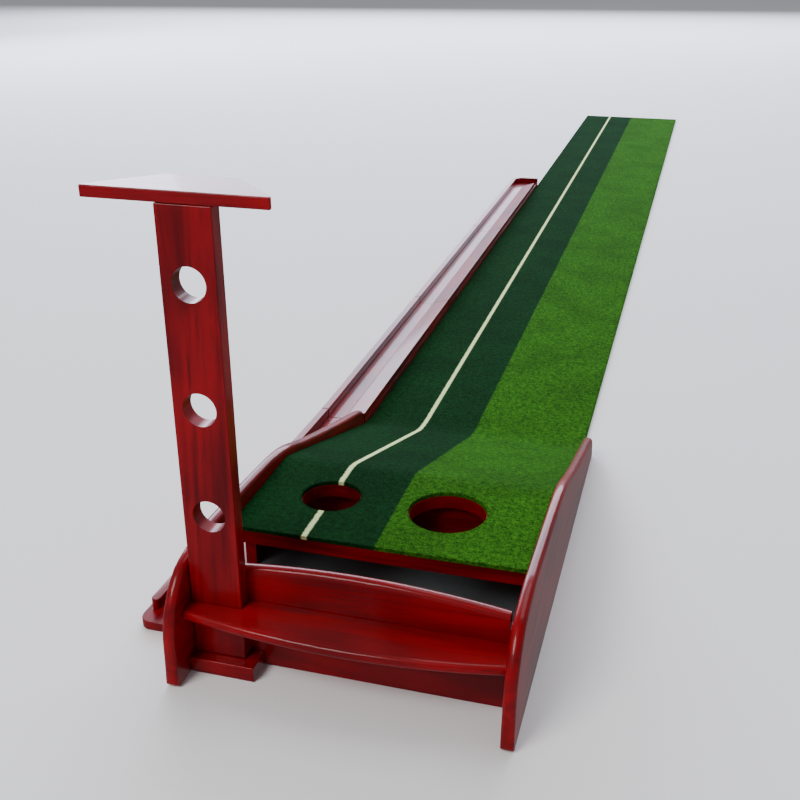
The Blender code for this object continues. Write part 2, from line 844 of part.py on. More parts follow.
def cut_screw_seat(item, side, y, z):
    """Counterbore for the head of one screw."""
    face, way = screw_axis(side)
    depth = SCREW_HEAD_HEIGHT + SCREW_HOLE_GAP
    seat = cylinder_mesh(
        "screw_seat",
        SCREW_HEAD_RADIUS + SCREW_HOLE_GAP,
        2 * depth,
        (face, y, z),
        (way, 0, 0),
        sides=16,
    )
    cut(item, seat, f"{item.name}_seat_{y:.2f}")


def cleat_screw(name, side, y, z):
    """A pan-head wood screw, its head sunk in the cleat and its tip in the panel."""
    face, way = screw_axis(side)
    profile = [
        (0.0, 0.0),
        (SCREW_HEAD_RADIUS, 0.0),
        (SCREW_HEAD_RADIUS, SCREW_HEAD_HEIGHT),
        (SCREW_SHANK_RADIUS, SCREW_HEAD_HEIGHT),
        (SCREW_SHANK_RADIUS, SCREW_LENGTH - SCREW_TIP),
        (0.0, SCREW_LENGTH),
    ]
    shape = bmesh.new()
    verts = [shape.verts.new((radius, 0.0, depth)) for radius, depth in profile]
    edges = [shape.edges.new(pair) for pair in zip(verts, verts[1:])]
    bmesh.ops.spin(
        shape,
        geom=verts + edges,
        cent=(0, 0, 0),
        axis=(0, 0, 1),
        angle=math.tau,
        steps=12,
        use_duplicate=False,
    )
    bmesh.ops.remove_doubles(shape, verts=shape.verts, dist=1e-6)
    bmesh.ops.recalc_face_normals(shape, faces=shape.faces)
    turn = Vector((0.0, 0.0, 1.0)).rotation_difference(Vector((way, 0, 0))).to_matrix()
    for vertex in shape.verts:
        vertex.co = turn @ vertex.co + Vector((face, y, z))
    mesh = bpy.data.meshes.new(name)
    shape.to_mesh(mesh)
    shape.free()
    return mesh_object(name, mesh, STEEL, MAT_FRAME)


def board_dowels():
    """The dowels between the front board and the two side panels."""
    middle_y = (BOARD_FRONT_Y + BOARD_BACK_Y) / 2
    for side, level, x, height in board_dowel_places():
        name = f"{side}_{level}_board_dowel"
        mesh = cylinder_mesh(
            name, BOARD_DOWEL_RADIUS, BOARD_DOWEL_LENGTH, (x, middle_y, height), (1, 0, 0), sides=16
        )
        mesh_object(name, mesh, BIRCH, MAT_FRAME)


# ---------------------------------------------------------------- post and top plate
POST_FRAME = new_empty("post_frame", (POST_MID_X, POST_MID_Y, POST_BOTTOM), MAT_FRAME)


def plate_dowel_places():
    """Number and x of the dowels between the post and its plate."""
    half = PLATE_DOWEL_SPACING / 2
    return ((1, POST_MID_X - half), (2, POST_MID_X + half))


def cut_plate_dowels(item):
    """Bore the post or the plate for the dowels between them."""
    for number, x in plate_dowel_places():
        top = PLATE_BOTTOM + PLATE_DOWEL_IN_PLATE
        bore = cylinder_mesh(
            "plate_dowel_bore",
            PLATE_DOWEL_RADIUS + DOWEL_GAP,
            PLATE_DOWEL_LENGTH + 2 * DOWEL_GAP,
            (x, POST_MID_Y, top - PLATE_DOWEL_LENGTH / 2),
            (0, 0, 1),
            sides=16,
        )
        cut(item, bore, f"{item.name}_dowel_bore_{number}")


def post():
    """The upright with its three round holes, its top plate and their dowels."""
    upright = box(
        "post",
        (POST_LEFT_X, POST_FRONT_Y, POST_BOTTOM),
        (POST_RIGHT_X, POST_BACK_Y, PLATE_BOTTOM - FIT_GAP),
        LACQUER,
        POST_FRAME,
        EDGE_ROUNDING,
    )
    for number, height in enumerate(POST_HOLE_HEIGHTS, start=1):
        hole = cylinder_mesh(
            "post_hole",
            POST_HOLE_RADIUS,
            4 * POST_THICKNESS,
            (POST_MID_X, POST_MID_Y, height),
            (0, 1, 0),
            sides=32,
        )
        cut(upright, hole, f"post_hole_{number}")
    cut_plate_dowels(upright)

    left = POST_LEFT_X - PLATE_LEFT_OVERHANG
    right = POST_RIGHT_X + PLATE_RIGHT_OVERHANG
    rear = POST_FRONT_Y + PLATE_DEPTH
    outline = [
        (left, POST_FRONT_Y),
        (right, POST_FRONT_Y),
        (right, POST_FRONT_Y + PLATE_CORNER),
        (right - PLATE_TAPER, rear),
        (left + PLATE_TAPER, rear),
        (left, POST_FRONT_Y + PLATE_CORNER),
    ]
    plate = slab(
        "top_plate",
        outline,
        "XY",
        PLATE_BOTTOM,
        PLATE_TOP,
        LACQUER,
        POST_FRAME,
        EDGE_ROUNDING,
    )
    cut_plate_dowels(plate)
    for number, x in plate_dowel_places():
        name = f"plate_dowel_{number}"
        middle = (x, POST_MID_Y, PLATE_BOTTOM + PLATE_DOWEL_IN_PLATE - PLATE_DOWEL_LENGTH / 2)
        mesh = cylinder_mesh(
            name, PLATE_DOWEL_RADIUS, PLATE_DOWEL_LENGTH, middle, (0, 0, 1), sides=16
        )
        mesh_object(name, mesh, BIRCH, POST_FRAME)


# ---------------------------------------------------------------- outlet tray and track
def track_dowel_places():
    """Number and x of the two dowels at each joint of the track, clear of both edges."""
    left = TRACK_LEFT_X + TRACK_DOWEL_INSET
    right = TRAY_RIGHT_X - TRACK_DOWEL_INSET
    return ((1, left), (2, right))


def cut_track_dowels(item, joint_y):
    """Bore a tray or track base for the dowels of one joint."""
    for number, x in track_dowel_places():
        bore = cylinder_mesh(
            "track_dowel_bore",
            TRACK_DOWEL_RADIUS + DOWEL_GAP,
            TRACK_DOWEL_LENGTH + 2 * DOWEL_GAP,
            (x, joint_y, TRACK_BASE / 2),
            (0, 1, 0),
            sides=16,
        )
        cut(item, bore, f"{item.name}_dowel_bore_{number}_{joint_y:.2f}")


def track_dowels(joint, joint_y, parent):
    """The two dowels of one joint of the track."""
    for number, x in track_dowel_places():
        name = f"track_joint_{joint}_dowel_{number}"
        mesh = cylinder_mesh(
            name,
            TRACK_DOWEL_RADIUS,
            TRACK_DOWEL_LENGTH,
            (x, joint_y, TRACK_BASE / 2),
            (0, 1, 0),
            sides=16,
        )
        mesh_object(name, mesh, BIRCH, parent)


def rail_outline(front_left, rear_left, front, rear):
    """Top view of the tray's rail, round at its front end, running out to the track's rail."""
    radius = RAIL_WIDTH / 2
    nose = arc((front_left + radius, front + radius), radius, 180, 360, step=TIGHT_STEP)
    return nose + [(rear_left + RAIL_WIDTH, rear), (rear_left, rear)]


def outlet_tray():
    """The fixed tray beside the left panel, widest at its front, and the rail along its edge."""
    rear = RAMP_END
    corner_middle = (TRAY_LEFT_X + TRAY_CORNER, TRAY_FRONT_Y + TRAY_CORNER)
    outline = arc(corner_middle, TRAY_CORNER, 180, 270, step=TIGHT_STEP)
    outline += [(TRAY_RIGHT_X, TRAY_FRONT_Y), (TRAY_RIGHT_X, rear), (TRACK_LEFT_X, rear)]
    tray = slab("outlet_tray", outline, "XY", 0.0, TRACK_BASE, LACQUER, MAT_FRAME, EDGE_ROUNDING)
    cut_track_dowels(tray, TRACK_START_Y)
    slab(
        "outlet_rail",
        rail_outline(
            TRAY_LEFT_X + TRAY_RAIL_INSET, TRACK_LEFT_X, TRAY_FRONT_Y + TRAY_RAIL_SETBACK, rear
        ),
        "XY",
        TRACK_BASE + FIT_GAP,
        TRACK_TOP,
        LACQUER,
        MAT_FRAME,
        EDGE_ROUNDING,
    )
    track_dowels(1, TRACK_START_Y, MAT_FRAME)


def section_base(number, front, rear, parent):
    """Base board of a track section; the last one has a round far corner."""
    if number < TRACK_SECTIONS:
        outline = [
            (TRACK_LEFT_X, front),
            (TRACK_RIGHT_X, front),
            (TRACK_RIGHT_X, rear),
            (TRACK_LEFT_X, rear),
        ]
    else:
        middle = (TRACK_LEFT_X + TRACK_END_RADIUS, rear - TRACK_END_RADIUS)
        outline = [(TRACK_LEFT_X, front), (TRACK_RIGHT_X, front), (TRACK_RIGHT_X, rear)]
        outline += arc(middle, TRACK_END_RADIUS, 90, 180, step=TIGHT_STEP)
    base = slab(
        f"track_{number}_base", outline, "XY", 0.0, TRACK_BASE, LACQUER, parent
    )
    cut_track_dowels(base, front - TRACK_JOINT_GAP / 2)
    if number < TRACK_SECTIONS:
        cut_track_dowels(base, rear + TRACK_JOINT_GAP / 2)
    return base


def inner_rail(number, front, rear, parent):
    """The strip along the mat side whose top falls towards the middle of the track."""
    right = TRACK_RIGHT_X
    left = right - INNER_RAIL_WIDTH
    low = TRACK_BASE + FIT_GAP
    outline = [(left, low), (right, low), (right, TRACK_TOP), (left, low + INNER_RAIL_LOW)]
    return slab(f"track_{number}_inner_rail", outline, "XZ", front, rear, LACQUER, parent)


def track_section(number, parent):
    """One section of the return track."""
    front = TRACK_START_Y + (number - 1) * TRACK_SECTION + TRACK_JOINT_GAP / 2
    rear = TRACK_START_Y + number * TRACK_SECTION - TRACK_JOINT_GAP / 2
    last = number == TRACK_SECTIONS
    section_base(number, front, rear, parent)
    rail_rear = rear - TRACK_END_RADIUS if last else rear
    box(
        f"track_{number}_outer_rail",
        (TRACK_LEFT_X, front, TRACK_BASE + FIT_GAP),
        (TRACK_LEFT_X + RAIL_WIDTH, rail_rear, TRACK_TOP),
        LACQUER,
        parent,
        EDGE_ROUNDING,
    )
    inner_rail(number, front, rear - END_MOUTH if last else rear, parent)
    if last:
        middle = (TRACK_LEFT_X + TRACK_END_RADIUS, rear - TRACK_END_RADIUS)
        outline = arc(middle, TRACK_END_RADIUS, 180, 90, step=TIGHT_STEP)
        outline += [(TRACK_RIGHT_X, rear), (TRACK_RIGHT_X, rear - RAIL_WIDTH)]
        outline += arc(middle, TRACK_END_RADIUS - RAIL_WIDTH, 90, 180, step=TIGHT_STEP)
        outline = [(x, y + FIT_GAP if y <= rail_rear else y) for x, y in outline]
        slab(
            "track_end_stop",
            outline,
            "XY",
            TRACK_BASE + FIT_GAP,
            TRACK_TOP,
            LACQUER,
            parent,
            EDGE_ROUNDING,
        )
    else:
        track_dowels(number + 1, rear + TRACK_JOINT_GAP / 2, parent)


# ---------------------------------------------------------------- assembly
for panel_side in ("left", "right"):
    side_panel(panel_side)
    cleat(panel_side)
deck_board()
ramp_board()
turf_mat()
front_board()
shelf()
foot_block()
trough()
for screw in screw_places():
    cleat_screw(*screw)
board_dowels()
post()
outlet_tray()
section_parent = MAT_FRAME
for section_number in range(1, TRACK_SECTIONS + 1):
    section_y = TRACK_START_Y + (section_number - 1) * TRACK_SECTION
    section_parent = new_empty(
        f"track_{section_number}_frame",
        ((TRACK_LEFT_X + TRACK_RIGHT_X) / 2, section_y, TRACK_BASE / 2),
        section_parent,
    )
    track_section(section_number, section_parent)
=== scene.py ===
"""Looks of the practice putting mat: lacquered wooden head and track, two-tone turf with a line."""

import logging
import math
from dataclasses import dataclass, field
from enum import Enum
from random import Random
from typing import Any, Union

import bmesh
import bpy
from mathutils import Matrix, Vector


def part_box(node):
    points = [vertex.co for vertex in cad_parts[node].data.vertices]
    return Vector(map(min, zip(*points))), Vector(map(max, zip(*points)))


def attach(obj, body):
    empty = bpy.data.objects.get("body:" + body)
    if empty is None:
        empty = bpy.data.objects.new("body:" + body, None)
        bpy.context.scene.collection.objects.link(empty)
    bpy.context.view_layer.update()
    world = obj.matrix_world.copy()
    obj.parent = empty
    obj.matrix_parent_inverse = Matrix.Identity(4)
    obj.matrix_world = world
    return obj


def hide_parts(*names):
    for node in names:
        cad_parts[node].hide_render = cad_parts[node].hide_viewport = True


Color = tuple[float, float, float]
Place = tuple[float, float, float]
Path = list[tuple[float, float]]  # points as (y, z)
Operand = Union["Value", float]

log = logging.getLogger("putting_mat")
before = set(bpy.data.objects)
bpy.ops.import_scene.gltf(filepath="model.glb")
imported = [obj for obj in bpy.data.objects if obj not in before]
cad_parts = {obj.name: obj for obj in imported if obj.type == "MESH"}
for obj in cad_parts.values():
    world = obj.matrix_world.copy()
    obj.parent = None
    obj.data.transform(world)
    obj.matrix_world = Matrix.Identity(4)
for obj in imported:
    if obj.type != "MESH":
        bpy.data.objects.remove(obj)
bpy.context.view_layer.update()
WELD = 2e-6  # vertices closer than this are one
TOUCH = 1e-5  # a vertex this close to a plane lies on it


# ---------------------------------------------------------------- shader graph
class Value:
    """A number that varies over a surface, written as an expression."""

    def __init__(self, graph: "Graph", socket: bpy.types.NodeSocket) -> None:
        """Wrap a socket.

        Args:
            graph: The graph that the socket belongs to.
            socket: The output socket that carries the number.
        """
        self.graph = graph
        self.socket = socket

    def _math(self, operation: str, *operands: Operand) -> "Value":
        """Add one Math node.

        Args:
            operation: The node's operation.
            operands: Numbers or values for its sockets, in order.

        Returns:
            The node's result.
        """
        inputs = {index: operand for index, operand in enumerate(operands)}
        return self.graph.node("ShaderNodeMath", {"operation": operation}, inputs)

    def __add__(self, other: Operand) -> "Value":
        """Sum."""
        return self._math("ADD", self, other)

    def __radd__(self, other: float) -> "Value":
        """Sum with a number on the left."""
        return self._math("ADD", other, self)

    def __sub__(self, other: Operand) -> "Value":
        """Difference."""
        return self._math("SUBTRACT", self, other)

    def __rsub__(self, other: float) -> "Value":
        """Difference from a number on the left."""
        return self._math("SUBTRACT", other, self)

    def __mul__(self, other: Operand) -> "Value":
        """Product."""
        return self._math("MULTIPLY", self, other)

    def __abs__(self) -> "Value":
        """Distance from zero."""
        return self._math("ABSOLUTE", self)

    def step(self, low: float, high: float) -> "Value":
        """Smooth rise from 0 to 1.

        Args:
            low: Where the rise starts.
            high: Where it ends; below low for a fall.

        Returns:
            A mask from 0 to 1.
        """
        settings = {"interpolation_type": "SMOOTHSTEP"}
        if low < high:
            inputs = {"Value": self, "From Min": low, "From Max": high}
            return self.graph.node("ShaderNodeMapRange", settings, inputs)
        inputs = {"Value": self, "From Min": high, "From Max": low, "To Min": 1.0, "To Max": 0.0}
        return self.graph.node("ShaderNodeMapRange", settings, inputs)


class Graph:
    """The nodes of one material."""

    def __init__(self, name: str) -> None:
        """Start a Principled material.

        Args:
            name: The material's name.
        """
        self.material = bpy.data.materials.new(name)
        self.material.use_nodes = True
        self.tree = self.material.node_tree
        self.shader = self.tree.nodes["Principled BSDF"]

    def node(
        self,
        kind: str,
        settings: dict[str, Any] | None = None,
        inputs: dict[Union[str, int], Any] | None = None,
        output: Union[str, int] = 0,
    ) -> Value:
        """Add a node.

        Args:
            kind: The node's type.
            settings: Its own properties, set first.
            inputs: Numbers, vectors, colours or values for its sockets.
            output: The output that is returned.

        Returns:
            The chosen output.
        """
        made = self.tree.nodes.new(kind)
        for key, value in (settings or {}).items():
            setattr(made, key, value)
        for key, value in (inputs or {}).items():
            self.feed(made.inputs[key], value)
        return Value(self, made.outputs[output])

    def feed(self, socket: bpy.types.NodeSocket, value: Any) -> None:
        """Link a value to a socket, or set the socket's own number.

        Args:
            socket: The input socket.
            value: A value, a number, a vector or a colour.
        """
        if isinstance(value, Value):
            self.tree.links.new(value.socket, socket)
        elif socket.type == "RGBA":
            socket.default_value = (*value, 1.0)
        else:
            socket.default_value = value

    def place(self, scale: Place = (1.0, 1.0, 1.0)) -> Value:
        """Place on the object, in metres, scaled along each axis.

        Args:
            scale: Scale along X, Y and Z.

        Returns:
            The scaled place, a vector.
        """
        position = self.node("ShaderNodeTexCoord", output="Object")
        settings = {"operation": "MULTIPLY"}
        return self.node("ShaderNodeVectorMath", settings, {0: position, 1: scale})

    def noise(self, place: Value, scale: float, detail: float = 3.0, twist: float = 0.0) -> Value:
        """Noise from 0 to 1.

        Args:
            place: Where it is read.
            scale: Features per metre.
            detail: Octaves.
            twist: Distortion.

        Returns:
            The noise.
        """
        inputs = {"Vector": place, "Scale": scale, "Detail": detail, "Distortion": twist}
        return self.node("ShaderNodeTexNoise", {}, inputs, "Fac")

    def mix(self, mask: Operand, first: Any, second: Any, blend: str = "MIX") -> Value:
        """Mix two colours.

        Args:
            mask: Share of the second colour.
            first: A colour or a value.
            second: A colour or a value.
            blend: The blend type.

        Returns:
            The mixed colour.
        """
        settings = {"data_type": "RGBA", "blend_type": blend}
        return self.node("ShaderNodeMix", settings, {0: mask, 6: first, 7: second}, 2)

    def axis(self, place: Value, name: str) -> Value:
        """One coordinate of a place.

        Args:
            place: A vector.
            name: X, Y or Z.

        Returns:
            The coordinate.
        """
        return self.node("ShaderNodeSeparateXYZ", {}, {0: place}, name)

    def set(self, **values: Any) -> None:
        """Set or link the shader's sockets.

        Args:
            values: Socket names in lower case with underscores, and their values.
        """
        for key, value in values.items():
            self.feed(self.shader.inputs[SHADER_SOCKETS[key]], value)

    def bump(self, height: Value, distance: float, strength: float = 1.0) -> None:
        """Feed a height to the shader's normal.

        Args:
            height: Height from 0 to 1.
            distance: Real height of 1, in metres.
            strength: Share of the effect.
        """
        inputs = {"Height": height, "Distance": distance, "Strength": strength}
        self.set(normal=self.node("ShaderNodeBump", {}, inputs))


SHADER_SOCKETS = {
    "base_color": "Base Color",
    "roughness": "Roughness",
    "metallic": "Metallic",
    "coat_weight": "Coat Weight",
    "coat_roughness": "Coat Roughness",
    "coat_ior": "Coat IOR",
    "sheen_weight": "Sheen Weight",
    "specular": "Specular IOR Level",
    "normal": "Normal",
}


# ---------------------------------------------------------------- finishes
class Grain(Enum):
    """The direction in which a board's grain runs."""

    ACROSS = "X"
    ALONG = "Y"
    UPRIGHT = "Z"

    def stretch(self, along: float) -> Place:
        """Scale that draws a pattern out along the grain.

        Args:
            along: Scale along the grain, where 1 is none.

        Returns:
            Scale along X, Y and Z.
        """
        return tuple(along if axis == self.value else 1.0 for axis in "XYZ")


@dataclass(frozen=True)
class Lacquer:
    """Red-brown stain under a thick gloss lacquer, with the wood's figure showing through."""

    grain: Grain
    deep: Color = (0.095, 0.0002, 0.0025)
    red: Color = (0.270, 0.0002, 0.0045)
    figure: Color = (0.016, 0.0003, 0.0004)
    coat: float = 0.30
    coat_roughness: float = 0.06
    coat_ior: float = 1.5
    specular: float = 0.12

    def material(self) -> bpy.types.Material:
        """Build the finish.

        Returns:
            The material.
        """
        graph = Graph(f"red_lacquer_{self.grain.name.lower()}")
        fibres = graph.noise(graph.place(self.grain.stretch(0.04)), 420.0, 4.0, 0.4)
        bands = graph.noise(graph.place(self.grain.stretch(0.10)), 38.0, 3.0, 1.6)
        cloud = graph.noise(graph.place(), 9.0, 2.0)
        body = graph.mix((bands * 0.55 + cloud * 0.45).step(0.30, 0.68), self.deep, self.red)
        streaked = graph.mix(fibres.step(0.52, 0.80) * 0.45, body, self.figure)
        cells = {"Vector": graph.place(self.grain.stretch(0.55)), "Scale": 7.5, "Randomness": 1.0}
        knot = graph.node("ShaderNodeTexVoronoi", {}, cells, "Distance")
        knots = (knot + bands * 0.10).step(0.17, 0.09)
        graph.set(
            base_color=graph.mix(knots * 0.75, streaked, self.figure),
            roughness=0.30 + fibres * 0.10,
            coat_weight=self.coat - cloud.step(0.55, 0.75) * 0.06,
            coat_roughness=self.coat_roughness,
            coat_ior=self.coat_ior,
            specular=self.specular,
        )
        graph.bump(fibres * 0.4 + bands * 0.6, 0.00012, 0.35)
        return graph.material


@dataclass(frozen=True)
class TurfPile:
    """Short dense pile in two greens with a pale line, laid out across the mat's width."""

    middle: float
    line: float
    line_half: float
    dark: Color = (0.0012, 0.0170, 0.0040)
    dark_tip: Color = (0.0050, 0.0520, 0.0110)
    bright: Color = (0.0070, 0.0500, 0.0030)
    bright_tip: Color = (0.0480, 0.2000, 0.0100)
    pale: Color = (0.78, 0.95, 0.40)
    edge: float = 0.0011

    def material(self) -> bpy.types.Material:
        """Build the finish.

        Returns:
            The material.
        """
        graph = Graph("two_tone_turf")
        place = graph.place()
        tufts = graph.noise(place, 620.0, 3.0, 0.5)
        clumps = graph.noise(place, 190.0, 3.0, 0.3)
        patches = graph.noise(place, 11.0, 2.0)
        wander = (graph.noise(place, 260.0, 2.0) - 0.5) * 0.0024
        across = graph.axis(place, "X") + wander
        tips = (tufts * 0.62 + clumps * 0.38).step(0.36, 0.66)
        greens = graph.mix(tips, self.dark, self.dark_tip)
        fresh = graph.mix(tips, self.bright, self.bright_tip)
        pile = graph.mix((across - self.middle).step(-self.edge, self.edge), greens, fresh)
        line = abs(across - self.line).step(self.line_half + self.edge, self.line_half - self.edge)
        worn = graph.mix(patches.step(0.35, 0.70) * 0.22, pile, (0.0, 0.0, 0.0), "MULTIPLY")
        chalk = graph.mix(tips * 0.5, self.pale, (0.90, 0.95, 0.66))
        graph.set(
            base_color=graph.mix(line * 0.93, worn, chalk),
            roughness=0.86 + tufts * 0.12,
            specular=0.02,
        )
        graph.bump(tufts * 0.6 + clumps * 0.4, 0.0016, 0.85)
        return graph.material


@dataclass(frozen=True)
class Felt:
    """Dark matt felt."""

    shade: Color = (0.010, 0.021, 0.022)
    fluff: Color = (0.030, 0.050, 0.052)

    def material(self) -> bpy.types.Material:
        """Build the finish.

        Returns:
            The material.
        """
        graph = Graph("dark_felt")
        fibres = graph.noise(graph.place(), 900.0, 4.0, 1.2)
        graph.set(
            base_color=graph.mix(fibres.step(0.35, 0.75), self.shade, self.fluff),
            roughness=0.90 + fibres * 0.08,
            sheen_weight=0.4,
        )
        graph.bump(fibres, 0.0005, 0.6)
        return graph.material


@dataclass(frozen=True)
class PlainWood:
    """Unfinished birch with fine pores."""

    grain: Grain
    pale: Color = (0.62, 0.44, 0.25)
    tan: Color = (0.42, 0.27, 0.14)

    def material(self) -> bpy.types.Material:
        """Build the finish.

        Returns:
            The material.
        """
        graph = Graph(f"birch_{self.grain.name.lower()}")
        fibres = graph.noise(graph.place(self.grain.stretch(0.05)), 500.0, 4.0, 0.5)
        bands = graph.noise(graph.place(self.grain.stretch(0.15)), 70.0, 2.0, 1.0)
        graph.set(
            base_color=graph.mix((fibres * 0.5 + bands * 0.5).step(0.3, 0.7), self.pale, self.tan),
            roughness=0.58 + fibres * 0.15,
        )
        graph.bump(fibres, 0.0002, 0.5)
        return graph.material


@dataclass(frozen=True)
class ZincSteel:
    """Zinc-plated steel, slightly cloudy."""

    bright: Color = (0.66, 0.64, 0.58)
    dull: Color = (0.42, 0.40, 0.36)

    def material(self) -> bpy.types.Material:
        """Build the finish.

        Returns:
            The material.
        """
        graph = Graph("zinc_steel")
        cloud = graph.noise(graph.place(), 700.0, 3.0)
        graph.set(
            base_color=graph.mix(cloud.step(0.35, 0.7), self.bright, self.dull),
            roughness=0.26 + cloud * 0.2,
            metallic=1.0,
        )
        graph.bump(cloud, 0.00005, 0.4)
        return graph.material


# ---------------------------------------------------------------- making pieces
def link(piece: bpy.types.Object, body: str, material: bpy.types.Material) -> None:
    """Dress a piece and let it ride on its body.

    Args:
        piece: The piece, in place.
        body: The CAD body.
        material: Its finish.
    """
    piece.data.materials.clear()
    piece.data.materials.append(material)
    bpy.context.scene.collection.objects.link(piece)
    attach(piece, body)
    log.info("%s rides on %s", piece.name, body)


@dataclass
class Joinery:
    """Boards with eased edges that stand for CAD boards of the same size and place."""

    body: str
    finish: dict[Grain, bpy.types.Material]
    ease: float = 0.0008
    ease_segments: int = 3
    sharp_angle: float = math.radians(34)
    flat_angle: float = math.radians(0.4)

    def board(self, node: str, grain: Grain) -> None:
        """Make one board.

        Args:
            node: The CAD node that it stands for.
            grain: The direction of its grain.
        """
        shape = bmesh.new()
        shape.from_mesh(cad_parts[node].data)
        bmesh.ops.remove_doubles(shape, verts=shape.verts, dist=WELD)
        bmesh.ops.dissolve_limit(
            shape,
            angle_limit=self.flat_angle,
            use_dissolve_boundaries=False,
            verts=shape.verts,
            edges=shape.edges,
        )
        mesh = bpy.data.meshes.new(f"{node}_board")
        shape.to_mesh(mesh)
        shape.free()
        mesh.shade_smooth()
        piece = bpy.data.objects.new(f"{node}_board", mesh)
        bevel = piece.modifiers.new("eased_edges", "BEVEL")
        bevel.width = self.ease
        bevel.segments = self.ease_segments
        bevel.limit_method = "ANGLE"
        bevel.angle_limit = self.sharp_angle
        bevel.miter_outer = "MITER_ARC"
        normals = piece.modifiers.new("flat_faces", "WEIGHTED_NORMAL")
        normals.keep_sharp = False
        link(piece, self.body, self.finish[grain])
        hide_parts(node)


